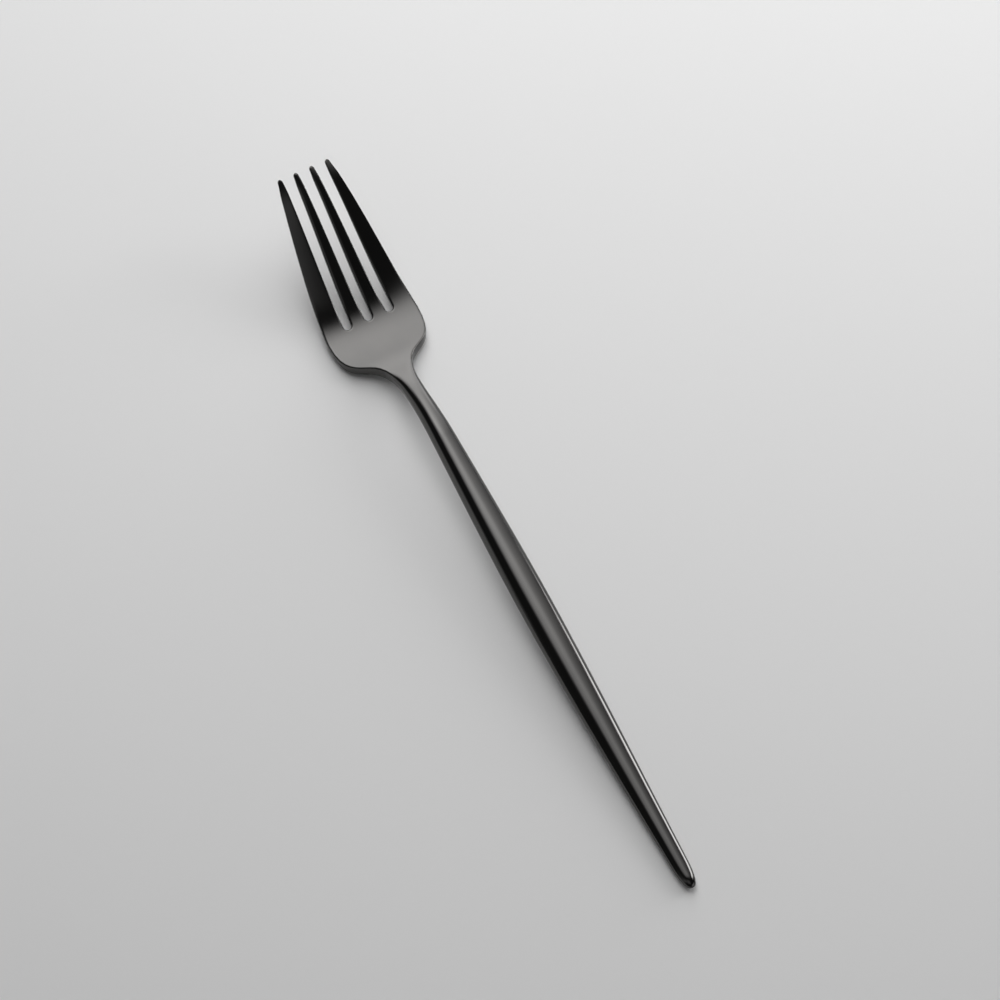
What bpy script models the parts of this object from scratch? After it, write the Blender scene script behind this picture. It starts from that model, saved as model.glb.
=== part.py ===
"""Salad fork: a pressed head with four tines, joined by a hidden tang to a solid tapered handle.

The fork lies as on a table, tines up. X runs across it, +Y towards the tips, +Z up, in metres.
A station is a distance along the fork from the end of the handle, seen from above.
"""

import math

import bmesh
import bpy
from mathutils import Vector
from mathutils.geometry import interpolate_bezier

# Lengths along the fork, from the end of the handle to the tips
TAPER_LENGTH = 0.0720       # handle end to the widest place of the handle
FORE_LENGTH = 0.0440        # widest place of the handle to the joint
NECK_LENGTH = 0.0150        # joint to the narrowest place of the neck
DROP_LENGTH = 0.0180        # narrowest place of the neck to the belly
SHOULDER_LENGTH = 0.0200    # narrowest place of the neck to the widest place of the palm
SLOT_SETBACK = 0.0018       # widest place of the palm to the slot bottoms
TINE_LENGTH = 0.03255       # slot bottoms to the tips
ROUND_LEAD = 0.0090         # narrowest place of the neck to where its section starts to round
ROUND_LENGTH = 0.0185       # stretch over which the section turns from flat to oval
ROUND_BLEND = 0.35          # share of that stretch over which the round-over gives way

# Handle
NOSE_LENGTH = 0.0070        # domed end of the handle
REST_LENGTH = 0.0160        # stretch of the handle that lies on the table
END_WIDTH = 0.0036
GRIP_WIDTH = 0.00746
JOINT_WIDTH = 0.0055
END_THICKNESS = 0.0023
GRIP_THICKNESS = 0.0052
JOINT_THICKNESS = 0.0044
END_FLARE = 0.058           # growth of the width per length at the end of the handle
END_SWELL = 0.055           # growth of the thickness per length there
JOINT_FLARE = -0.060        # growth of the width per length at the joint
JOINT_SWELL = -0.030        # growth of the thickness per length at the joint

# Head
NECK_WIDTH = 0.0047
PALM_WIDTH = 0.0225
NECK_THICKNESS = 0.0034
BELLY_THICKNESS = 0.0023
TIP_THICKNESS = 0.0012
SHOULDER_FULLNESS = 0.70    # pull of the shoulder curve at the palm, as a share of its own length
NECK_FULLNESS = 0.76        # the same at the neck
PALM_PULL = 0.0015          # stretch over which the palm stays wide
TINE_PULL = 0.0170          # stretch over which the outer tine runs straight to its tip
TINE_LEAN = 0.225           # inward lean of the outer tine at its tip
SLOT_ROOT_WIDTH = 0.00185
SLOT_TIP_WIDTH = 0.00252
INNER_ROOT_WIDTH = 0.00335  # width of an inner tine at the slot bottoms
TINE_TIP_WIDTH = 0.00138
EDGE_ROUND = 0.00045        # round-over along every edge of the head
EDGE_SHARE = 0.4            # largest share of a tip's width that the round-over may take
TOP_CRISPNESS = 0.6         # below 1 the upper edges stay crisp
UNDERSIDE_CRISPNESS = 3.0   # above 1 the lower edges are drawn up into a full round
NECK_CRISPNESS = 20.0       # power of the squarest oval section at the foot of the neck

# Side view: heights of the middle of the metal, and slopes along the fork
JOINT_HEIGHT = 0.00815
NECK_HEIGHT = 0.0060
TIP_HEIGHT = 0.0195
JOINT_SLOPE = 0.080
NECK_SLOPE = -0.320
TIP_SLOPE = 0.370

# Joint between head and handle
TANG_LENGTH = 0.0120
TANG_WIDTH = 0.0026
TANG_THICKNESS = 0.0020
JOINT_GAP = 0.0003          # film of braze all round the tang and on the joint's face

# Finish
COAT_COLOUR = (0.035, 0.034, 0.034, 1.0)
COAT_ROUGHNESS = 0.22
SMOOTH_ANGLE = math.radians(40)

# Fineness of the mesh
RING_SIDES = 28
HANDLE_STEP = 0.0055
PRESS_STEP = 0.0016
NECK_STEP = 0.00055
ARC_STEPS = 6
CURVE_POINTS = 18
EDGE_STEPS = 2
CUT_TOLERANCE = 0.00004

# Stations that follow from the lengths
WIDEST = TAPER_LENGTH
JOINT = WIDEST + FORE_LENGTH
NECK = JOINT + NECK_LENGTH
BELLY = NECK + DROP_LENGTH
PALM = NECK + SHOULDER_LENGTH
SLOT = PALM + SLOT_SETBACK
TIP = SLOT + TINE_LENGTH
ROUNDING = NECK + ROUND_LEAD
MIDDLE = TIP / 2


def cubic(station, start, end):
    """Value at a station on the cubic between two knots of (station, value, slope)."""
    length = end[0] - start[0]
    t = (station - start[0]) / length
    value = start[1] + (end[1] - start[1]) * (3 * t ** 2 - 2 * t ** 3)
    leave = t * (1 - t) ** 2 * length * start[2]
    arrive = t ** 2 * (t - 1) * length * end[2]
    return value + leave + arrive


def along(station, knots):
    """Value at a station on the smooth curve through all knots."""
    for start, end in zip(knots, knots[1:]):
        if station <= end[0]:
            return cubic(station, start, end)
    return cubic(station, knots[-2], knots[-1])


def slope_of(curve, station):
    """Slope of a curve at a station, by a small central difference."""
    reach = NOSE_LENGTH / 100
    return (curve(station + reach) - curve(station - reach)) / (2 * reach)


HEAD_SWELL = (TIP_THICKNESS - BELLY_THICKNESS) / (TIP - BELLY)
NECK_SWELL = (BELLY_THICKNESS - JOINT_THICKNESS) / (BELLY - JOINT)
WIDTH_KNOTS = (
    (0.0, END_WIDTH, END_FLARE),
    (WIDEST, GRIP_WIDTH, 0.0),
    (JOINT, JOINT_WIDTH, JOINT_FLARE),
    (NECK, NECK_WIDTH, 0.0),
)
THICKNESS_KNOTS = (
    (0.0, END_THICKNESS, END_SWELL),
    (WIDEST, GRIP_THICKNESS, 0.0),
    (JOINT, JOINT_THICKNESS, JOINT_SWELL),
    (NECK, NECK_THICKNESS, NECK_SWELL),
    (BELLY, BELLY_THICKNESS, HEAD_SWELL),
    (TIP, TIP_THICKNESS, HEAD_SWELL),
)


def width(station):
    """Full width of the handle or the neck at a station."""
    return along(station, WIDTH_KNOTS)


def thickness(station):
    """Full thickness of the metal at a station."""
    return along(station, THICKNESS_KNOTS)


HEIGHT_KNOTS = (
    (REST_LENGTH, thickness(REST_LENGTH) / 2, slope_of(thickness, REST_LENGTH) / 2),
    (JOINT, JOINT_HEIGHT, JOINT_SLOPE),
    (NECK, NECK_HEIGHT, NECK_SLOPE),
    (BELLY, BELLY_THICKNESS / 2, 0.0),
    (TIP, TIP_HEIGHT, TIP_SLOPE),
)


def height(station):
    """Height of the middle of the metal above the table."""
    if station < REST_LENGTH:
        return thickness(station) / 2
    return along(station, HEIGHT_KNOTS)


def place(x, station, offset):
    """Point of the fork that lies an offset above the middle of the metal, square to it."""
    tilt = math.atan(slope_of(height, station))
    y = station - MIDDLE - offset * math.sin(tilt)
    z = height(station) + offset * math.cos(tilt)
    return Vector((x, y, z))


def joint_axes():
    """Middle of the joint, the direction back into the handle, and the direction up."""
    tilt = math.atan(slope_of(height, JOINT))
    back = Vector((0.0, -math.cos(tilt), -math.sin(tilt)))
    up = Vector((0.0, -math.sin(tilt), math.cos(tilt)))
    return place(0.0, JOINT, 0.0), back, up


def tang_point(depth, angle, play):
    """Point of the oval tang at a depth behind the joint, with play all round."""
    middle, back, up = joint_axes()
    across = Vector(((TANG_WIDTH / 2 + play) * math.cos(angle), 0.0, 0.0))
    return middle + back * depth + across + up * (TANG_THICKNESS / 2 + play) * math.sin(angle)


def steps_between(start, end, step):
    """Stations from start to end, evenly spaced and no further apart than a step."""
    count = max(1, math.ceil((end - start) / step))
    return [start + (end - start) * i / count for i in range(count + 1)]


def coated(name):
    """Black coated metal for one piece."""
    material = bpy.data.materials.new(name)
    material.use_nodes = True
    shader = material.node_tree.nodes["Principled BSDF"]
    shader.inputs["Base Color"].default_value = COAT_COLOUR
    shader.inputs["Metallic"].default_value = 1.0
    shader.inputs["Roughness"].default_value = COAT_ROUGHNESS
    return material


def finish(name, bm):
    """Turn a finished bmesh into a smooth-shaded object in black coated metal."""
    bmesh.ops.recalc_face_normals(bm, faces=bm.faces[:])
    mesh = bpy.data.meshes.new(name)
    bm.to_mesh(mesh)
    bm.free()
    mesh.shade_smooth()
    mesh.set_sharp_from_angle(angle=SMOOTH_ANGLE)
    mesh.materials.append(coated(name + "_coat"))
    piece = bpy.data.objects.new(name, mesh)
    bpy.context.scene.collection.objects.link(piece)


def loft(bm, rings):
    """Skin a row of rings that have equally many corners, and return their vertices."""
    rows = [[bm.verts.new(point) for point in ring] for ring in rings]
    for near, far in zip(rows, rows[1:]):
        for i in range(len(near)):
            j = (i + 1) % len(near)
            bm.faces.new((near[i], near[j], far[j], far[i]))
    return rows


def handle():
    """Solid oval bar with a domed end, and a blind socket for the tang in its other end."""
    bm = bmesh.new()
    angles = [math.tau * side / RING_SIDES for side in range(RING_SIDES)]
    dome = [math.pi / 2 * step / ARC_STEPS for step in range(1, ARC_STEPS + 1)]
    sections = [(NOSE_LENGTH * (1 - math.cos(turn)), math.sin(turn)) for turn in dome]
    bar = steps_between(NOSE_LENGTH, JOINT - JOINT_GAP, HANDLE_STEP)
    sections += [(station, 1.0) for station in bar[1:]]
    rings = []
    for station, share in sections:
        half_width = width(station) / 2 * share
        half_thickness = thickness(station) / 2 * share
        corners = [(half_width * math.cos(a), half_thickness * math.sin(a)) for a in angles]
        rings.append([place(x, station, offset) for x, offset in corners])
    for depth in (JOINT_GAP, TANG_LENGTH + JOINT_GAP):
        rings.append([tang_point(depth, a, JOINT_GAP) for a in angles])
    rows = loft(bm, rings)
    first = rows[0]
    nose = bm.verts.new(place(0.0, 0.0, 0.0))
    for i in range(len(first)):
        bm.faces.new((first[(i + 1) % len(first)], first[i], nose))
    bm.faces.new(rows[-1])
    finish("handle", bm)


def arc(x, station, radius, first, last):
    """Points of an arc round a centre, angles in degrees from +X towards the tips."""
    turns = [math.radians(first + (last - first) * i / ARC_STEPS) for i in range(ARC_STEPS + 1)]
    return [(x + radius * math.cos(a), station + radius * math.sin(a)) for a in turns]


def sweep(start, start_pull, end_pull, end):
    """Points of a Bezier curve between two points and their pulls, without its first point."""
    corners = [Vector((*point, 0.0)) for point in (start, start_pull, end_pull, end)]
    return [(point.x, point.y) for point in interpolate_bezier(*corners, CURVE_POINTS)][1:]


def shoulder():
    """Points of the right shoulder's curve, from the neck to the palm."""
    neck = (NECK_WIDTH / 2, NECK)
    palm = (PALM_WIDTH / 2, PALM)
    neck_pull = (neck[0], NECK + SHOULDER_LENGTH * NECK_FULLNESS)
    palm_pull = (palm[0], PALM - SHOULDER_LENGTH * SHOULDER_FULLNESS)
    return [neck] + sweep(neck, neck_pull, palm_pull, palm)


def half_width(station):
    """Half of the head's width at a station of the neck or the shoulders."""
    if station <= NECK:
        return width(station) / 2
    points = shoulder()
    for near, far in zip(points, points[1:]):
        if station <= far[1]:
            share = (station - near[1]) / (far[1] - near[1])
            return near[0] + (far[0] - near[0]) * share
    return PALM_WIDTH / 2


def half_outline():
    """Right half of the flat head, from the middle slot out to the palm and back to the joint."""
    slot_round = SLOT_ROOT_WIDTH / 2
    tip_round = TINE_TIP_WIDTH / 2
    slot_middle = SLOT_ROOT_WIDTH + INNER_ROOT_WIDTH
    inner_tip = SLOT_TIP_WIDTH / 2 + tip_round
    outer_tip = inner_tip + TINE_TIP_WIDTH + SLOT_TIP_WIDTH
    points = arc(0.0, SLOT + slot_round, slot_round, -90, 0)
    points += arc(inner_tip, TIP - tip_round, tip_round, 180, 0)
    points += arc(slot_middle, SLOT + slot_round, slot_round, 180, 360)
    points += arc(outer_tip, TIP - tip_round, tip_round, 180, 0)
    tip = points[-1]
    tip_pull = (tip[0] + TINE_PULL * TINE_LEAN, tip[1] - TINE_PULL)
    palm = (PALM_WIDTH / 2, PALM)
    points += sweep(tip, tip_pull, (palm[0], PALM + PALM_PULL), palm)
    points += reversed(shoulder()[:-1])
    for station in reversed(steps_between(JOINT, NECK, PRESS_STEP)[:-1]):
        points.append((width(station) / 2, station))
    return points


def cut_across(bm, faces, point, normal):
    """Divide faces along a plane."""
    edges = {edge for face in faces for edge in face.edges}
    verts = {vert for face in faces for vert in face.verts}
    geometry = [*verts, *edges, *faces]
    bmesh.ops.bisect_plane(bm, geom=geometry, dist=CUT_TOLERANCE, plane_co=point, plane_no=normal)


def neck_faces(bm):
    """Faces of the flat head where its section is rounded."""
    return [face for face in bm.faces if face.calc_center_median().y < ROUNDING]


def flat_head():
    """Plate cut to the head's outline with rounded edges, divided so that it can be pressed."""
    bm = bmesh.new()
    right = half_outline()
    left = [(-x, station) for x, station in reversed(right[1:])]
    half = BELLY_THICKNESS / 2
    plate = bm.faces.new([bm.verts.new((x, station, -half)) for x, station in right + left])
    raised = bmesh.ops.extrude_face_region(bm, geom=[plate])["geom"]
    raised_verts = [item for item in raised if isinstance(item, bmesh.types.BMVert)]
    bmesh.ops.translate(bm, vec=(0, 0, BELLY_THICKNESS), verts=raised_verts)
    bmesh.ops.recalc_face_normals(bm, faces=bm.faces[:])
    level_edges = [edge for edge in bm.edges if abs(edge.verts[0].co.z - edge.verts[1].co.z) < half]
    rim = [edge for edge in level_edges if max(vert.co.y for vert in edge.verts) > JOINT + CUT_TOLERANCE]
    radius = min(EDGE_ROUND, TINE_TIP_WIDTH * EDGE_SHARE, BELLY_THICKNESS * EDGE_SHARE)
    bmesh.ops.bevel(bm, geom=rim, offset=radius, segments=EDGE_STEPS, profile=0.5, affect="EDGES")
    rear = steps_between(JOINT, BELLY, PRESS_STEP)[1:]
    front = steps_between(BELLY, TIP, PRESS_STEP)[1:-1]
    for station in rear + front:
        cut_across(bm, bm.faces[:], (0, station, 0), (0, 1, 0))
    reach = half_width(ROUNDING)
    for x in steps_between(-reach, reach, NECK_STEP)[1:-1]:
        cut_across(bm, neck_faces(bm), (x, 0, 0), (1, 0, 0))
    for level in steps_between(-half, half, NECK_STEP)[1:-1]:
        cut_across(bm, neck_faces(bm), (0, 0, level), (0, 0, 1))
    return bm


def press(vert):
    """Move one point of the flat head to its place in the pressed one, with the neck swaged round."""
    x = vert.co.x
    station = vert.co.y
    level = vert.co.z / (BELLY_THICKNESS / 2)
    half_thickness = thickness(station) / 2
    crispness = TOP_CRISPNESS if level > 0 else UNDERSIDE_CRISPNESS
    offset = math.copysign(abs(level) ** crispness, level) * half_thickness
    if station < ROUNDING:
        share = min(1.0, (ROUNDING - station) / ROUND_LENGTH)
        power = min(NECK_CRISPNESS, 2 / share)
        spread = abs(x / half_width(station)) ** power + abs(level) ** power
        scale = max(CUT_TOLERANCE, spread) ** (-1 / power)
        blend = min(1.0, share / ROUND_BLEND)
        x += (x * scale - x) * blend
        offset += (half_thickness * level * scale - offset) * blend
    vert.co = place(x, station, offset)


def add_tang(bm):
    """Draw the tang out of the end face of the neck."""
    middle, back, up = joint_axes()
    at_joint = {vert for vert in bm.verts if abs((vert.co - middle).dot(back)) < CUT_TOLERANCE}
    end_faces = [face for face in bm.faces if at_joint.issuperset(face.verts)]
    end = bmesh.ops.dissolve_faces(bm, faces=end_faces)["region"][0]
    rises = [(vert.co - middle).dot(up) / JOINT_THICKNESS for vert in end.verts]
    angles = [math.atan2(rise, vert.co.x / JOINT_WIDTH) for rise, vert in zip(rises, end.verts)]
    for depth in (0.0, TANG_LENGTH):
        end = bmesh.ops.extrude_discrete_faces(bm, faces=[end])["faces"][0]
        for vert, angle in zip(end.verts, angles):
            vert.co = tang_point(depth, angle, 0.0)


def fork_head():
    """Pressed head: four tines, palm, shoulders and round neck, with the tang behind the neck."""
    bm = flat_head()
    for vert in bm.verts:
        press(vert)
    add_tang(bm)
    finish("fork_head", bm)


for leftover in list(bpy.data.objects):
    bpy.data.objects.remove(leftover, do_unlink=True)
handle()
fork_head()
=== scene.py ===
"""Salad fork in black coated steel, lying on a pale floor.

The head is drawn as a flat outline, given its thickness and rounded rim, and pressed to the fork's
side view. The handle is drawn out ring by ring as a straight bar and laid along the same side view.
A station is a distance along the fork from the end of the handle, seen from above, in metres.
"""

import logging
import math
from collections.abc import Callable
from dataclasses import dataclass
from enum import Enum
from functools import cached_property

import bmesh
import bpy
from mathutils import Matrix, Vector
from mathutils.geometry import interpolate_bezier


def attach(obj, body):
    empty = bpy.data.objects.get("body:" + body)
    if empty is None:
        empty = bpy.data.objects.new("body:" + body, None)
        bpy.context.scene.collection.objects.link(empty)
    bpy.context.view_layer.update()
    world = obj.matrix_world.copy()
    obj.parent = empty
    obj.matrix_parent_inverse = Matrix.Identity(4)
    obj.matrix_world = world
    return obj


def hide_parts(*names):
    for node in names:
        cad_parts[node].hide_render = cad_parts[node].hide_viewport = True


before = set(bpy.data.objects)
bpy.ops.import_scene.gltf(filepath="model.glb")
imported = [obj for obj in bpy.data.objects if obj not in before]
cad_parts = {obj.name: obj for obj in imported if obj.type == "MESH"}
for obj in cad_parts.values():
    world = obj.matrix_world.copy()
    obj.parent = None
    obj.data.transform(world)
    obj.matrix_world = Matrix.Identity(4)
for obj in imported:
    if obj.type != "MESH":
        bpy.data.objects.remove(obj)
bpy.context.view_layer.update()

BODY = "root"
# Length of a curve handle, per radius, that draws a quarter circle.
ROUND_PULL = 0.5523
# A cut goes through a point that lies nearer to it than this.
CUT_REACH = 0.00002
# Points that lie nearer to each other than this are merged.
MERGE_REACH = 0.000001
# Faces that meet at more than this angle keep a crisp edge.
CRISP_ANGLE = math.radians(40)
log = logging.getLogger("salad_fork")

Point = tuple[float, float]
Triple = tuple[float, float, float]
Element = bmesh.types.BMVert | bmesh.types.BMEdge | bmesh.types.BMFace
Socket = bpy.types.NodeSocket


@dataclass(frozen=True)
class Knot:
    """One place on a smooth curve along the fork: where, how much, and how fast it grows there."""

    station: float
    value: float
    slope: float


@dataclass(frozen=True)
class SmoothCurve:
    """A size that changes smoothly along the fork, through its knots."""

    knots: tuple[Knot, ...]

    def span(self, station: float) -> tuple[Knot, Knot]:
        """Finds the two knots on either side of a station.

        Args:
            station: Distance from the end of the handle.

        Returns:
            The knot before the station and the knot after it.
        """
        for start, end in zip(self.knots, self.knots[1:]):
            if station <= end.station:
                return start, end
        return self.knots[-2], self.knots[-1]

    def at(self, station: float) -> float:
        """Reads the curve.

        Args:
            station: Distance from the end of the handle.

        Returns:
            The size there.
        """
        start, end = self.span(station)
        length = end.station - start.station
        t = (station - start.station) / length
        value = start.value + (end.value - start.value) * (3 * t ** 2 - 2 * t ** 3)
        leave = t * (1 - t) ** 2 * length * start.slope
        arrive = t ** 2 * (t - 1) * length * end.slope
        return value + leave + arrive

    def slope(self, station: float) -> float:
        """Reads how fast the curve grows.

        Args:
            station: Distance from the end of the handle.

        Returns:
            The growth per length there.
        """
        start, end = self.span(station)
        length = end.station - start.station
        t = (station - start.station) / length
        rise = (end.value - start.value) / length * 6 * t * (1 - t)
        return rise + start.slope * (1 - t) * (1 - 3 * t) + end.slope * t * (3 * t - 2)


@dataclass(frozen=True)
class ForkLine:
    """The stations, widths, thickness and side view that head and handle share."""

    end: float = 0.0
    rest: float = 0.0160
    bulge: float = 0.0720
    joint: float = 0.1160
    neck: float = 0.1310
    rounding: float = 0.1400
    belly: float = 0.1490
    palm: float = 0.1510
    slot: float = 0.1528
    tip: float = 0.18535
    rounding_length: float = 0.0185

    @cached_property
    def widths(self) -> SmoothCurve:
        """Works out the width of the handle and the neck.

        Returns:
            The width along the fork, seen from above.
        """
        return SmoothCurve((
            Knot(self.end, 0.0036, 0.058),
            Knot(self.bulge, 0.00746, 0.0),
            Knot(self.joint, 0.0055, -0.060),
            Knot(self.neck, 0.0047, 0.0),
        ))

    @cached_property
    def thicknesses(self) -> SmoothCurve:
        """Works out the thickness of the metal.

        Returns:
            The thickness from the end of the handle to the tips.
        """
        return SmoothCurve((
            Knot(self.end, 0.0023, 0.055),
            Knot(self.bulge, 0.0052, 0.0),
            Knot(self.joint, 0.0044, -0.030),
            Knot(self.neck, 0.0034, -0.0636),
            Knot(self.belly, 0.0023, -0.0303),
            Knot(self.tip, 0.0012, -0.0303),
        ))

    @cached_property
    def heights(self) -> SmoothCurve:
        """Works out the side view, past the stretch that lies on the floor.

        Returns:
            The height of the middle of the metal along the fork.
        """
        half = self.thicknesses.at(self.rest) / 2
        return SmoothCurve((
            Knot(self.rest, half, self.thicknesses.slope(self.rest) / 2),
            Knot(self.joint, 0.00815, 0.080),
            Knot(self.neck, 0.0060, -0.320),
            Knot(self.belly, self.thicknesses.at(self.belly) / 2, 0.0),
            Knot(self.tip, 0.0195, 0.370),
        ))

    def lay(self, point: Vector) -> Vector:
        """Bends a point of a straight piece to its place in the fork's side view.

        Args:
            point: Across the fork, station, and offset from the middle of the metal.

        Returns:
            The point's place on the fork.
        """
        if point.y < self.rest:
            level = self.thicknesses.at(point.y) / 2
            tilt = math.atan(self.thicknesses.slope(point.y) / 2)
        else:
            level = self.heights.at(point.y)
            tilt = math.atan(self.heights.slope(point.y))
        y = point.y - self.tip / 2 - point.z * math.sin(tilt)
        return Vector((point.x, y, level + point.z * math.cos(tilt)))


class Bench:
    """The hand tools: small steps with Blender's operators that both pieces need."""

    @staticmethod
    def clear() -> None:
        """Leaves edit mode and deselects everything."""
        if bpy.context.object and bpy.context.object.mode != "OBJECT":
            bpy.ops.object.mode_set(mode="OBJECT")
        bpy.ops.object.select_all(action="DESELECT")

    @staticmethod
    def edit(kind: str = "VERT") -> None:
        """Opens the active piece in edit mode, to pick one kind of element."""
        bpy.ops.object.mode_set(mode="EDIT")
        bpy.ops.mesh.select_mode(type=kind)

    @staticmethod
    def pick(kind: str, wanted: Callable[[Element], bool]) -> int:
        """Selects the elements that pass a test, in edit mode.

        Args:
            kind: VERT, EDGE or FACE.
            wanted: The test.

        Returns:
            How many were selected.
        """
        bpy.ops.mesh.select_mode(type=kind)
        bpy.ops.mesh.select_all(action="DESELECT")
        mesh = bpy.context.object.data
        bm = bmesh.from_edit_mesh(mesh)
        elements = {"VERT": bm.verts, "EDGE": bm.edges, "FACE": bm.faces}[kind]
        picked = [element for element in elements if wanted(element)]
        for element in picked:
            element.select_set(True)
        bm.select_flush_mode()
        bmesh.update_edit_mesh(mesh)
        return len(picked)

    @staticmethod
    def cut(point: Triple, normal: Triple) -> None:
        """Divides the selected faces along a plane."""
        bpy.ops.mesh.bisect(plane_co=point, plane_no=normal, threshold=CUT_REACH)

    @staticmethod
    def extrude(shift: Vector | Triple) -> None:
        """Draws the selected faces out by a shift."""
        bpy.ops.mesh.extrude_region_move(TRANSFORM_OT_translate={"value": shift})

    @staticmethod
    def move_points(piece: bpy.types.Object, rule: Callable[[Vector], Vector]) -> None:
        """Moves every point of a piece by a rule, in object mode.

        Args:
            piece: The piece.
            rule: Gives a point's new place.
        """
        for vert in piece.data.vertices:
            vert.co = rule(vert.co)
        piece.data.update()

    @staticmethod
    def smooth(piece: bpy.types.Object) -> None:
        """Merges points that fell together, turns the faces outwards and shades them smooth.

        Args:
            piece: The active piece, in object mode or edit mode.
        """
        Bench.edit()
        bpy.ops.mesh.select_all(action="SELECT")
        bpy.ops.mesh.remove_doubles(threshold=MERGE_REACH)
        bpy.ops.mesh.normals_make_consistent(inside=False)
        bpy.ops.object.mode_set(mode="OBJECT")
        bpy.ops.object.shade_smooth_by_angle(angle=CRISP_ANGLE)


def steps(start: float, end: float, longest: float) -> list[float]:
    """Divides a stretch evenly.

    Args:
        start: Where the stretch starts.
        end: Where it ends.
        longest: The longest step allowed.

    Returns:
        The places from start to end, both included.
    """
    count = max(1, math.ceil(abs(end - start) / longest))
    return [start + (end - start) * i / count for i in range(count + 1)]


@dataclass(frozen=True)
class NodeBoard:
    """The nodes of a material or a lamp, added and linked one by one."""

    tree: bpy.types.NodeTree

    def add(self, kind: str, settings: dict[str, float | Triple],
            links: dict[str, Socket]) -> bpy.types.Node:
        """Adds a node.

        Args:
            kind: Blender's name for the node's type.
            settings: Values for its inputs, by name.
            links: Sockets that feed its other inputs, by name.

        Returns:
            The node.
        """
        node = self.tree.nodes.new(kind)
        for name, value in settings.items():
            node.inputs[name].default_value = value
        for name, source in links.items():
            self.tree.links.new(source, node.inputs[name])
        return node


@dataclass(frozen=True)
class BlackCoat:
    """The thin black coat on polished steel, with fine polishing marks along the fork and soft smudges."""

    clean: Triple = (0.0845, 0.083, 0.0815)
    smudged: Triple = (0.0905, 0.0885, 0.0865)
    roughness: float = 0.100
    marks_roughness: float = 0.025
    smudge_roughness: float = 0.020
    marks_across: float = 2600.0
    marks_along: float = 90.0
    marks_depth: float = 0.000003
    marks_detail: float = 3.0
    marks_grain: float = 0.6
    smudges_across: float = 110.0
    smudges_detail: float = 4.0
    smudges_grain: float = 0.55
    noise_low: float = 0.35
    noise_high: float = 0.65

    def spread(self, board: NodeBoard, noise: Socket, top: float, bottom: float = 0.0) -> Socket:
        """Spreads the useful middle of a noise over a range.

        Args:
            board: The material's nodes.
            noise: The noise.
            top: Value where the noise is high.
            bottom: Value where the noise is low.

        Returns:
            The spread value.
        """
        ends = {"From Min": self.noise_low, "From Max": self.noise_high, "To Min": bottom, "To Max": top}
        return board.add("ShaderNodeMapRange", ends, {"Value": noise}).outputs["Result"]

    def material(self, name: str) -> bpy.types.Material:
        """Mixes the coat.

        Args:
            name: The material's name.

        Returns:
            The material.
        """
        coat = bpy.data.materials.new(name)
        coat.use_nodes = True
        board = NodeBoard(coat.node_tree)
        place = board.add("ShaderNodeTexCoord", {}, {}).outputs["Object"]
        stretch = {"Scale": (self.marks_across, self.marks_along, self.marks_across)}
        drawn = board.add("ShaderNodeMapping", stretch, {"Vector": place}).outputs["Vector"]
        fine = {"Scale": 1.0, "Detail": self.marks_detail, "Roughness": self.marks_grain}
        marks = board.add("ShaderNodeTexNoise", fine, {"Vector": drawn}).outputs["Fac"]
        broad = {"Scale": self.smudges_across, "Detail": self.smudges_detail,
                 "Roughness": self.smudges_grain}
        smudges = board.add("ShaderNodeTexNoise", broad, {"Vector": place}).outputs["Fac"]
        tint = board.add("ShaderNodeValToRGB", {}, {"Fac": smudges})
        for element, at, colour in zip(tint.color_ramp.elements, (self.noise_low, self.noise_high),
                                       (self.clean, self.smudged)):
            element.position = at
            element.color = (*colour, 1.0)
        base = self.spread(board, marks, self.roughness + self.marks_roughness, self.roughness)
        extra = self.spread(board, smudges, self.smudge_roughness)
        total = board.add("ShaderNodeMath", {}, {})
        coat.node_tree.links.new(base, total.inputs[0])
        coat.node_tree.links.new(extra, total.inputs[1])
        relief = board.add("ShaderNodeBump", {"Distance": self.marks_depth}, {"Height": marks})
        shader = coat.node_tree.nodes["Principled BSDF"]
        shader.inputs["Metallic"].default_value = 1.0
        coat.node_tree.links.new(tint.outputs["Color"], shader.inputs["Base Color"])
        coat.node_tree.links.new(total.outputs["Value"], shader.inputs["Roughness"])
        coat.node_tree.links.new(relief.outputs["Normal"], shader.inputs["Normal"])
        return coat

    def cover(self, piece: bpy.types.Object) -> None:
        """Gives a piece this coat and no other material."""
        piece.data.materials.clear()
        piece.data.materials.append(self.material(piece.name + "_coat"))


@dataclass(frozen=True)
class OutlinePoint:
    """A point of the head's drawn outline with the two handles that shape the curve there."""

    at: Point
    before: Point
    after: Point

    @classmethod
    def level(cls, at: Point, reach: float) -> "OutlinePoint":
        """A point where the curve runs level, from left to right."""
        return cls(at, (at[0] - reach, at[1]), (at[0] + reach, at[1]))

    def mirrored(self) -> "OutlinePoint":
        """The same point on the other side of the fork, drawn the other way round."""
        return OutlinePoint((-self.at[0], self.at[1]), (-self.after[0], self.after[1]),
                            (-self.before[0], self.before[1]))


def ease(share: float) -> float:
    """A share that starts and stops gently, and stays put before its start and past its end."""
    share = max(0.0, min(1.0, share))
    return 3 * share ** 2 - 2 * share ** 3


def between(start: Point, end: Point, share: float) -> Point:
    """The point a share of the way along a straight line."""
    return start[0] + (end[0] - start[0]) * share, start[1] + (end[1] - start[1]) * share


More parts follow.
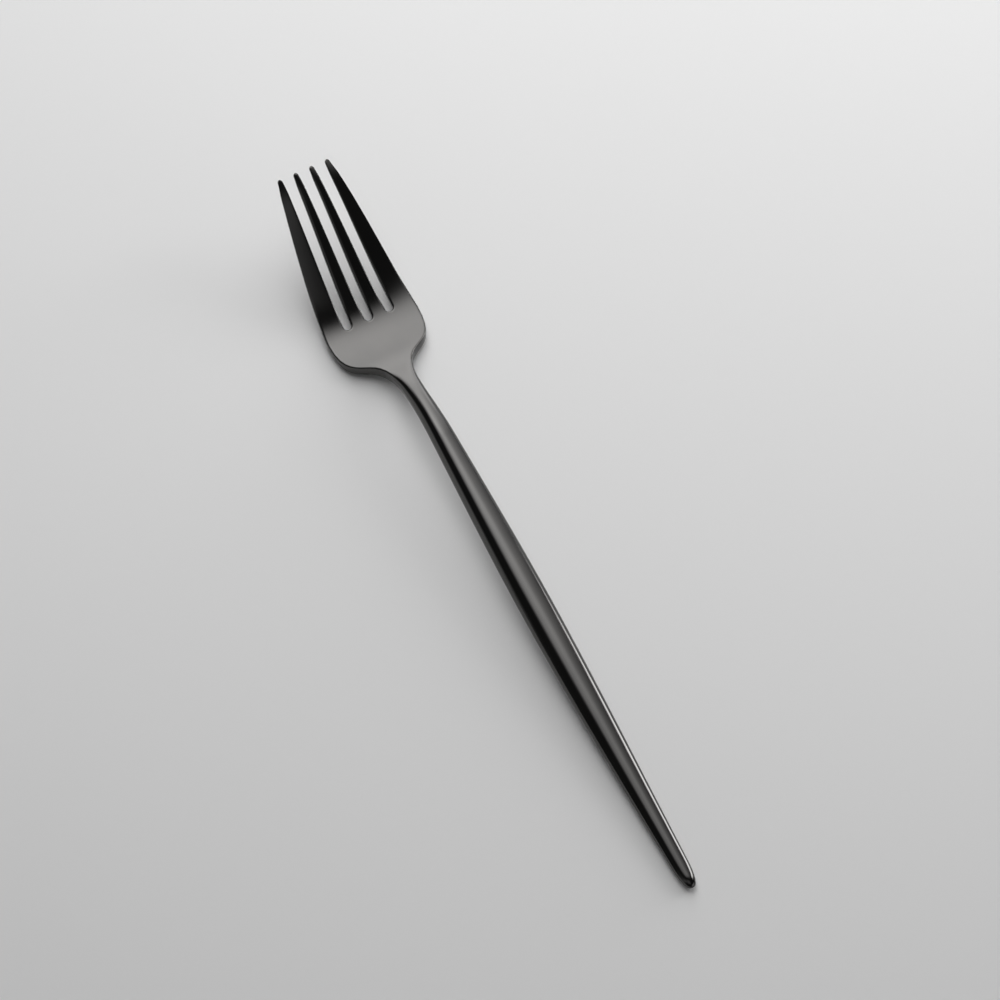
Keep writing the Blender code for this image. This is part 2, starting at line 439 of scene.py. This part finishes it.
@dataclass
class ForkHead:
    """The pressed head: four tines, palm, shoulders and neck, with the tang behind the neck."""

    line: ForkLine
    coat: BlackCoat
    palm_width: float = 0.0225
    plate: float = 0.0023
    shoulder_fullness: float = 0.70
    neck_fullness: float = 0.76
    palm_pull: float = 0.0015
    tine_pull: float = 0.0170
    tine_lean: float = 0.200
    tine_crown: float = 0.115
    crown_lead: float = 0.0230
    slot_root_width: float = 0.00185
    slot_tip_width: float = 0.00247
    inner_root_width: float = 0.00335
    tine_tip_width: float = 0.00146
    tip_pinch: float = 0.24
    pinch_length: float = 0.0035
    edge_round: float = 0.00045
    edge_land: float = 0.00005
    top_crispness: float = 0.6
    underside_crispness: float = 3.0
    neck_crispness: float = 20.0
    neck_blend: float = 0.35
    tang_length: float = 0.0120
    tang_width: float = 0.0026
    tang_thickness: float = 0.0020
    arc_steps: int = 14
    edge_steps: int = 6
    press_step: float = 0.0004
    palm_step: float = 0.0006
    neck_step: float = 0.00025
    side_points: int = 80

    @property
    def slot_round(self) -> float:
        """Radius of a slot's bottom."""
        return self.slot_root_width / 2

    @property
    def tip_round(self) -> float:
        """Radius of a tine's tip."""
        return self.tine_tip_width / 2

    @property
    def slot_at(self) -> float:
        """Distance of an outer slot's bottom from the middle of the fork."""
        return self.slot_root_width + self.inner_root_width

    @property
    def inner_at(self) -> float:
        """Distance of an inner tine's tip from the middle of the fork."""
        return self.slot_tip_width / 2 + self.tip_round

    @property
    def outer_at(self) -> float:
        """Distance of an outer tine's tip from the middle of the fork."""
        return self.inner_at + self.tine_tip_width + self.slot_tip_width

    @property
    def low(self) -> float:
        """Station where the slots' straight sides start."""
        return self.line.slot + self.slot_round

    @property
    def high(self) -> float:
        """Station where the slots' straight sides end."""
        return self.line.tip - self.tip_round

    @cached_property
    def side(self) -> tuple[OutlinePoint, OutlinePoint, OutlinePoint]:
        """Draws the right side.

        Returns:
            The points of the outer tine at its tip, the palm and the neck.
        """
        tip = (self.outer_at + self.tip_round, self.high)
        lean = (tip[0] + self.tine_pull * self.tine_lean, self.high - self.tine_pull)
        palm = (self.palm_width / 2, self.line.palm)
        neck = (self.line.widths.at(self.line.neck) / 2, self.line.neck)
        length = palm[1] - neck[1]
        return (
            OutlinePoint(tip, (tip[0], tip[1] + ROUND_PULL * self.tip_round), lean),
            OutlinePoint(palm, (palm[0], palm[1] + self.palm_pull),
                         (palm[0], palm[1] - length * self.shoulder_fullness)),
            OutlinePoint(neck, (neck[0], neck[1] + length * self.neck_fullness),
                         (neck[0], neck[1] - (self.line.neck - self.line.joint) / 3)),
        )

    @cached_property
    def side_line(self) -> list[Vector]:
        """Follows the right side.

        Returns:
            Points along it, from the neck to the outer tine's tip.
        """
        points: list[Vector] = []
        for far, near in zip(self.side, self.side[1:]):
            corners = [Vector((*corner, 0.0)) for corner in (near.at, near.before, far.after, far.at)]
            points = interpolate_bezier(*corners, self.side_points) + points
        return points

    def half_width(self, station: float) -> float:
        """Reads the outline.

        Args:
            station: Distance from the end of the handle.

        Returns:
            Half of the head's width there.
        """
        if station <= self.line.neck:
            return self.line.widths.at(station) / 2
        for near, far in zip(self.side_line, self.side_line[1:]):
            if near.y < far.y and station <= far.y:
                return near.lerp(far, (station - near.y) / (far.y - near.y)).x
        return self.side_line[-1].x

    def crown(self, reach: float, station: float) -> float:
        """Works out how gently the tops of the tines fall off towards the fork's sides.

        Args:
            reach: Distance from the middle of the fork.
            station: Distance from the end of the handle.

        Returns:
            How far the top lies below the middle of the fork there.
        """
        growth = ease((station - self.line.belly) / self.crown_lead)
        return self.tine_crown * growth * reach ** 2 / (2 * self.half_width(station))

    def pinch(self, x: float, station: float) -> float:
        """Narrows a tine towards its tip.

        Args:
            x: Place across the fork.
            station: Distance from the end of the handle.

        Returns:
            The narrowed place across the fork.
        """
        middle = self.inner_at if abs(x) < (self.inner_at + self.outer_at) / 2 else self.outer_at
        middle = math.copysign(middle, x)
        start = self.line.tip - self.pinch_length
        return x - (x - middle) * self.tip_pinch * ease((station - start) / self.pinch_length)

    def outline(self) -> list[OutlinePoint]:
        """Draws the flat outline.

        Returns:
            The points all the way round, from the bottom of the middle slot.
        """
        right: list[OutlinePoint] = []

        def slot_bottom(x: float) -> None:
            """Adds the lowest point of a slot."""
            right.append(OutlinePoint.level((x, self.line.slot), ROUND_PULL * self.slot_round))

        def tine(root: Point, x: float) -> None:
            """Adds a tine from the root at its left to the top of its tip.

            Args:
                root: Where its left side starts.
                x: Place of its tip across the fork.
            """
            left = (x - self.tip_round, self.high)
            reach = ROUND_PULL * self.tip_round
            right.append(OutlinePoint(root, (root[0], root[1] - ROUND_PULL * self.slot_round),
                                      between(root, left, 1 / 3)))
            right.append(OutlinePoint(left, between(root, left, 2 / 3), (left[0], left[1] + reach)))
            right.append(OutlinePoint.level((x, self.line.tip), reach))

        slot_bottom(0.0)
        tine((self.slot_round, self.low), self.inner_at)
        end = (self.inner_at + self.tip_round, self.high)
        root = (self.slot_at - self.slot_round, self.low)
        right.append(OutlinePoint(end, (end[0], end[1] + ROUND_PULL * self.tip_round),
                                  between(end, root, 1 / 3)))
        right.append(OutlinePoint(root, between(end, root, 2 / 3),
                                  (root[0], root[1] - ROUND_PULL * self.slot_round)))
        slot_bottom(self.slot_at)
        tine((self.slot_at + self.slot_round, self.low), self.outer_at)
        right.extend(self.side)
        third = (self.line.neck - self.line.joint) / 3
        end = (self.line.widths.at(self.line.joint) / 2, self.line.joint)
        flare = self.line.widths.slope(self.line.joint) / 2 * third
        right.append(OutlinePoint(end, (end[0] + flare, end[1] + third),
                                  between(end, (-end[0], end[1]), 1 / 3)))
        return right + [point.mirrored() for point in reversed(right[1:])]

    def draw_plate(self) -> bpy.types.Object:
        """Draws the outline as a curve and makes a flat plate of it.

        Returns:
            The plate, with its middle at height nought.
        """
        Bench.clear()
        bpy.ops.curve.primitive_bezier_circle_add(radius=self.palm_width / 2)
        curve = bpy.context.object.data
        curve.dimensions = "3D"
        curve.resolution_u = self.arc_steps
        points = self.outline()
        spline = curve.splines[0]
        spline.bezier_points.add(len(points) - len(spline.bezier_points))
        for drawn, point in zip(spline.bezier_points, points):
            drawn.handle_left_type = "FREE"
            drawn.handle_right_type = "FREE"
            drawn.co = (*point.at, 0.0)
            drawn.handle_left = (*point.before, 0.0)
            drawn.handle_right = (*point.after, 0.0)
        bpy.ops.object.convert(target="MESH")
        Bench.edit()
        bpy.ops.mesh.select_all(action="SELECT")
        bpy.ops.transform.translate(value=(0.0, 0.0, -self.plate / 2))
        bpy.ops.mesh.edge_face_add()
        Bench.extrude((0.0, 0.0, self.plate))
        bpy.ops.mesh.select_all(action="SELECT")
        bpy.ops.mesh.normals_make_consistent(inside=False)
        return bpy.context.object

    def round_rim(self) -> None:
        """Rounds every edge of the plate but those at the joint, and leaves a narrow land inside."""
        joint = self.line.joint + self.edge_land

        def at_rim(edge: bmesh.types.BMEdge) -> bool:
            """Whether an edge runs along the upper or lower rim."""
            first, last = edge.verts
            return abs(first.co.z - last.co.z) < self.edge_land and max(first.co.y, last.co.y) > joint

        Bench.pick("EDGE", at_rim)
        bpy.ops.mesh.bevel(offset=self.edge_round, segments=self.edge_steps, affect="EDGES")
        Bench.pick("FACE", lambda face: len(face.verts) > 4 and abs(face.normal.z) > abs(face.normal.y))
        bpy.ops.mesh.inset(thickness=self.edge_land, use_even_offset=True, use_boundary=True)

    def divide(self) -> None:
        """Divides the plate so finely that it can be pressed, and most finely in the neck."""
        for station in steps(self.line.joint, self.line.tip, self.press_step)[1:-1]:
            bpy.ops.mesh.select_all(action="SELECT")
            Bench.cut((0.0, station, 0.0), (0.0, 1.0, 0.0))
        half = self.palm_width / 2
        for x in steps(-half, half, self.palm_step)[1:-1]:
            bpy.ops.mesh.select_all(action="SELECT")
            Bench.cut((x, 0.0, 0.0), (1.0, 0.0, 0.0))
        half = self.half_width(self.line.rounding)
        across = [((x, 0.0, 0.0), (1.0, 0.0, 0.0)) for x in steps(-half, half, self.neck_step)[1:-1]]
        half = self.plate / 2
        across += [((0.0, 0.0, z), (0.0, 0.0, 1.0)) for z in steps(-half, half, self.neck_step)[1:-1]]
        for point, normal in across:
            Bench.pick("FACE", lambda face: face.calc_center_median().y < self.line.rounding)
            Bench.cut(point, normal)

    def press(self, point: Vector) -> Vector:
        """Presses one point of the plate, with the neck drawn round towards the joint.

        Args:
            point: Across, station, and height above the middle of the plate.

        Returns:
            The point's place on the fork.
        """
        level = point.z / (self.plate / 2)
        x = point.x
        half_thickness = self.line.thicknesses.at(point.y) / 2
        crispness = self.top_crispness if level > 0 else self.underside_crispness
        offset = math.copysign(abs(level) ** crispness, level) * half_thickness
        if point.y < self.line.rounding:
            share = min(1.0, (self.line.rounding - point.y) / self.line.rounding_length)
            power = min(self.neck_crispness, 2 / math.sin(share * math.pi / 2))
            spread = abs(x / self.half_width(point.y)) ** power + abs(level) ** power
            scale = max(self.edge_land, spread) ** (-1 / power)
            blend = ease(share / self.neck_blend)
            x += (x * scale - x) * blend
            offset += (half_thickness * level * scale - offset) * blend
        elif level > 0 and point.y > self.line.belly:
            offset -= level * self.crown(abs(x), point.y)
        return self.line.lay(Vector((self.pinch(x, point.y), point.y, offset)))

    def draw_tang(self) -> None:
        """Draws the tang out of the end of the neck."""
        middle = self.line.lay(Vector((0.0, self.line.joint, 0.0)))
        behind = self.line.lay(Vector((0.0, self.line.joint, self.plate))) - middle
        back = Vector((0.0, -behind.z, behind.y)).normalized()

        def at_joint(face: bmesh.types.BMFace) -> bool:
            """Whether a face lies in the joint's plane."""
            return all(abs((vert.co - middle).dot(back)) < self.edge_land for vert in face.verts)

        Bench.edit()
        Bench.pick("FACE", at_joint)
        bpy.ops.mesh.dissolve_faces()
        across = self.tang_width / self.line.widths.at(self.line.joint)
        upright = self.tang_thickness / self.line.thicknesses.at(self.line.joint)
        bpy.ops.mesh.extrude_region_move()
        bpy.ops.transform.resize(value=(across, upright, upright), center_override=middle)
        Bench.extrude(back * self.tang_length)

    def build(self) -> bpy.types.Object:
        """Makes the head from its outline to the finished mesh.

        Returns:
            The head.
        """
        piece = self.draw_plate()
        piece.name = "fork_head_pressed"
        self.round_rim()
        self.divide()
        Bench.clear()
        Bench.move_points(piece, self.press)
        piece.select_set(True)
        bpy.context.view_layer.objects.active = piece
        self.draw_tang()
        Bench.smooth(piece)
        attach(piece, BODY)
        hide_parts("fork_head")
        return piece

    def dress(self, piece: bpy.types.Object) -> None:
        """Coats the head."""
        self.coat.cover(piece)


@dataclass
class Handle:
    """The solid oval bar with a blunt round end, and the socket for the tang in its other end."""

    line: ForkLine
    coat: BlackCoat
    nose: float = 0.0070
    nose_fullness: float = 0.75
    nose_drop: float = 0.0024
    socket_length: float = 0.0123
    socket_width: float = 0.0032
    socket_thickness: float = 0.0026
    sides: int = 72
    ring_step: float = 0.0010
    nose_steps: int = 18

    def rings(self) -> list[Triple]:
        """Lists the sections of the bar.

        Returns:
            The station, width and thickness of each ring, from the joint to the end.
        """
        widths, thicknesses = self.line.widths, self.line.thicknesses
        rings = [(station, widths.at(station), thicknesses.at(station))
                 for station in steps(self.line.joint, self.nose, self.ring_step)]
        for turn in steps(math.pi / 2, 0.0, math.pi / 2 / self.nose_steps)[1:-1]:
            station = self.nose * (1 - math.cos(turn) ** self.nose_fullness)
            drop = max(0.0, 1 - station / self.nose_drop)
            rings.append((station, widths.at(station) * math.sin(turn) ** self.nose_fullness,
                          thicknesses.at(station) * math.sqrt(1 - drop ** 2)))
        return rings

    def draw_bar(self) -> bpy.types.Object:
        """Draws the bar out of a circle, ring by ring, and closes its end.

        Returns:
            The straight bar.
        """
        Bench.clear()
        rings = self.rings()
        station, width, thickness = rings[0]
        bpy.ops.mesh.primitive_circle_add(vertices=self.sides, radius=width / 2, fill_type="NGON",
                                          location=(0.0, station, 0.0), rotation=(math.pi / 2, 0.0, 0.0))
        bpy.ops.object.transform_apply(location=True, rotation=True, scale=True)
        piece = bpy.context.object
        Bench.edit("FACE")
        bpy.ops.mesh.select_all(action="SELECT")
        bpy.ops.transform.resize(value=(1.0, 1.0, thickness / width))
        for last, ring in zip(rings, rings[1:]):
            Bench.extrude((0.0, ring[0] - last[0], 0.0))
            bpy.ops.transform.resize(value=(ring[1] / last[1], 1.0, ring[2] / last[2]))
        Bench.extrude((0.0, -rings[-1][0], 0.0))
        bpy.ops.mesh.merge(type="CENTER")
        return piece

    def sink_socket(self) -> None:
        """Sinks the socket into the joint's end of the bar."""
        joint = self.line.joint
        Bench.pick("FACE", lambda face: len(face.verts) == self.sides)
        across = self.socket_width / self.line.widths.at(joint)
        upright = self.socket_thickness / self.line.thicknesses.at(joint)
        bpy.ops.mesh.extrude_region_move()
        bpy.ops.transform.resize(value=(across, 1.0, upright))
        Bench.extrude((0.0, -self.socket_length, 0.0))

    def build(self) -> bpy.types.Object:
        """Makes the handle from its first ring to the finished mesh.

        Returns:
            The handle.
        """
        piece = self.draw_bar()
        piece.name = "handle_bar"
        self.sink_socket()
        Bench.clear()
        Bench.move_points(piece, self.line.lay)
        piece.select_set(True)
        bpy.context.view_layer.objects.active = piece
        Bench.smooth(piece)
        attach(piece, BODY)
        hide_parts("handle")
        return piece

    def dress(self, piece: bpy.types.Object) -> None:
        """Coats the handle."""
        self.coat.cover(piece)


class LampRole(Enum):
    """What each softbox is for."""

    KEY = "key"
    TOP = "top"
    EDGE = "edge"
    GLOW = "glow"
    FILL = "fill"
    FRONT = "front"
    LOW = "low"
    SIDE = "side"


@dataclass(frozen=True)
class Softbox:
    """A lamp behind a cloth that fades towards its four sides.

    It faces the fork from a distance, at an angle round it from the picture's back towards its right.
    Its sides are measured from the point straight opposite the fork, as seen from the fork.
    Its glow is the brightness of the cloth before the fades.
    """

    role: LampRole
    angle: float
    elevation: float
    roll: float
    distance: float
    left: float
    right: float
    bottom: float
    top: float
    left_fade: float
    right_fade: float
    bottom_fade: float
    top_fade: float
    glow: float

    def axes(self, back: Vector) -> Matrix:
        """Turns the softbox to face the fork.

        Args:
            back: Level direction towards the picture's back.

        Returns:
            The directions to the left, up and away from the fork, as columns.
        """
        level = Matrix.Rotation(-math.radians(self.angle), 3, "Z") @ back
        rise = math.radians(self.elevation)
        away = level * math.cos(rise) + Vector((0.0, 0.0, math.sin(rise)))
        left = Matrix.Rotation(math.radians(self.roll), 3, away) @ Vector((0.0, 0.0, 1.0)).cross(level)
        return Matrix((left, away.cross(left), away)).transposed()

    def fade(self, tree: bpy.types.NodeTree) -> None:
        """Lets the glow fade towards the four sides.

        Args:
            tree: The lamp's nodes.
        """
        board = NodeBoard(tree)
        place = board.add("ShaderNodeNewGeometry", {}, {}).outputs["Parametric"]
        split = board.add("ShaderNodeSeparateXYZ", {}, {"Vector": place})
        width = self.right - self.left
        height = self.top - self.bottom
        sides = (
            ("X", 1.0, 1.0 - self.left_fade / width),
            ("X", 0.0, self.right_fade / width),
            ("Y", 0.0, self.bottom_fade / height),
            ("Y", 1.0, 1.0 - self.top_fade / height),
        )
        glow: dict[str, Socket] = {}
        for axis, dark, bright in sides:
            ends = {"From Min": dark, "From Max": bright}
            side = board.add("ShaderNodeMapRange", ends, {"Value": split.outputs[axis], **glow})
            side.interpolation_type = "SMOOTHSTEP"
            glow = {"To Max": side.outputs["Result"]}
        tree.links.new(glow["To Max"], tree.nodes["Emission"].inputs["Strength"])

    def hang(self, back: Vector) -> None:
        """Sets the softbox up.

        Args:
            back: Level direction towards the picture's back.
        """
        lamp = bpy.data.lights.new(self.role.value + "_softbox", "AREA")
        lamp.shape = "RECTANGLE"
        lamp.size = self.right - self.left
        lamp.size_y = self.top - self.bottom
        lamp.energy = self.glow * math.pi * lamp.size * lamp.size_y
        lamp.use_nodes = True
        self.fade(lamp.node_tree)
        softbox = bpy.data.objects.new(lamp.name, lamp)
        axes = self.axes(back)
        middle = Vector((-(self.left + self.right) / 2, (self.bottom + self.top) / 2, self.distance))
        softbox.matrix_world = Matrix.Translation(axes @ middle) @ axes.to_4x4()
        softbox.visible_camera = False
        bpy.context.scene.collection.objects.link(softbox)


# The key, top, edge, glow and fill boxes come from a fit to the reflections, made by a separate script
# and rounded, with a few values changed by hand.
# The other boxes were set one by one.
SOFTBOXES = (
    Softbox(LampRole.KEY, angle=16.0, elevation=42.0, roll=-7.0, distance=0.45,
            left=-0.46, right=0.41, bottom=-0.39, top=0.47,
            left_fade=0.61, right_fade=1.04, bottom_fade=0.05, top_fade=0.25, glow=6.0),
    Softbox(LampRole.TOP, angle=25.5, elevation=66.0, roll=31.0, distance=0.85,
            left=-0.80, right=0.17, bottom=-1.18, top=0.41,
            left_fade=0.46, right_fade=0.65, bottom_fade=0.10, top_fade=0.27, glow=1.9),
    Softbox(LampRole.EDGE, angle=48.5, elevation=14.5, roll=27.0, distance=0.66,
            left=-0.01, right=0.30, bottom=-0.16, top=0.43,
            left_fade=0.08, right_fade=0.25, bottom_fade=0.08, top_fade=0.19, glow=8.8),
    Softbox(LampRole.GLOW, angle=-99.0, elevation=4.0, roll=8.5, distance=1.2,
            left=-0.10, right=1.08, bottom=-0.08, top=0.60,
            left_fade=0.12, right_fade=0.24, bottom_fade=0.02, top_fade=0.58, glow=0.70),
    Softbox(LampRole.FILL, angle=-120.0, elevation=60.0, roll=-11.0, distance=1.2,
            left=-0.65, right=0.16, bottom=-1.80, top=0.25,
            left_fade=0.35, right_fade=0.49, bottom_fade=0.18, top_fade=0.60, glow=0.30),
    Softbox(LampRole.FRONT, angle=175.0, elevation=55.0, roll=0.0, distance=1.0,
            left=-0.33, right=0.45, bottom=-0.25, top=0.45,
            left_fade=0.20, right_fade=0.20, bottom_fade=0.15, top_fade=0.25, glow=0.28),
    Softbox(LampRole.LOW, angle=-20.0, elevation=17.0, roll=0.0, distance=0.80,
            left=-0.25, right=0.85, bottom=-0.23, top=0.18,
            left_fade=0.15, right_fade=0.30, bottom_fade=0.03, top_fade=0.15, glow=0.85),
    Softbox(LampRole.SIDE, angle=125.0, elevation=20.0, roll=0.0, distance=1.1,
            left=-0.70, right=0.55, bottom=-0.33, top=0.30,
            left_fade=0.40, right_fade=0.40, bottom_fade=0.05, top_fade=0.40, glow=1.0),
)


@dataclass
class Studio:
    """Floor, lights and camera."""

    camera_at: Triple = (-0.1954, -0.3818, 0.8988)
    camera_to: Triple = (0.0059, 0.0077, 0.0)
    lens: float = 163.0
    sensor: float = 36.0
    floor_size: float = 6.0
    floor_colour: Triple = (0.79, 0.79, 0.79)
    floor_roughness: float = 0.9
    room_colour: Triple = (0.045, 0.045, 0.045)
    softboxes: tuple[Softbox, ...] = SOFTBOXES

    @property
    def aim(self) -> Vector:
        """The way the camera looks."""
        return Vector(self.camera_to) - Vector(self.camera_at)

    def set_camera(self) -> None:
        """Sets the camera at the photograph's viewing angle."""
        data = bpy.data.cameras.new("camera")
        data.lens = self.lens
        data.sensor_width = self.sensor
        camera = bpy.data.objects.new("camera", data)
        camera.location = self.camera_at
        camera.rotation_euler = self.aim.to_track_quat("-Z", "Y").to_euler()
        bpy.context.scene.collection.objects.link(camera)
        bpy.context.scene.camera = camera

    def lay_floor(self) -> None:
        """Lays the floor."""
        Bench.clear()
        bpy.ops.mesh.primitive_plane_add(size=self.floor_size)
        floor = bpy.context.object
        floor.name = "floor"
        paint = bpy.data.materials.new("floor_paint")
        paint.use_nodes = True
        shader = paint.node_tree.nodes["Principled BSDF"]
        shader.inputs["Base Color"].default_value = (*self.floor_colour, 1.0)
        shader.inputs["Roughness"].default_value = self.floor_roughness
        floor.data.materials.append(paint)

    def light(self) -> None:
        """Sets up the softboxes in a dim room."""
        world = bpy.data.worlds.new("room")
        world.use_nodes = True
        world.node_tree.nodes["Background"].inputs["Color"].default_value = (*self.room_colour, 1.0)
        bpy.context.scene.world = world
        back = self.aim
        back.z = 0.0
        back.normalize()
        for softbox in self.softboxes:
            softbox.hang(back)


def main() -> None:
    """Builds the pieces in order, dresses them and lights them."""
    bpy.context.scene.view_settings.view_transform = "Standard"
    studio = Studio()
    studio.set_camera()
    studio.lay_floor()
    studio.light()
    line = ForkLine()
    coat = BlackCoat()
    for maker in (ForkHead(line, coat), Handle(line, coat)):
        piece = maker.build()
        maker.dress(piece)
        log.info("%s: %d faces", piece.name, len(piece.data.polygons))


if __name__ == "__main__":
    logging.basicConfig(level=logging.INFO)
    main()
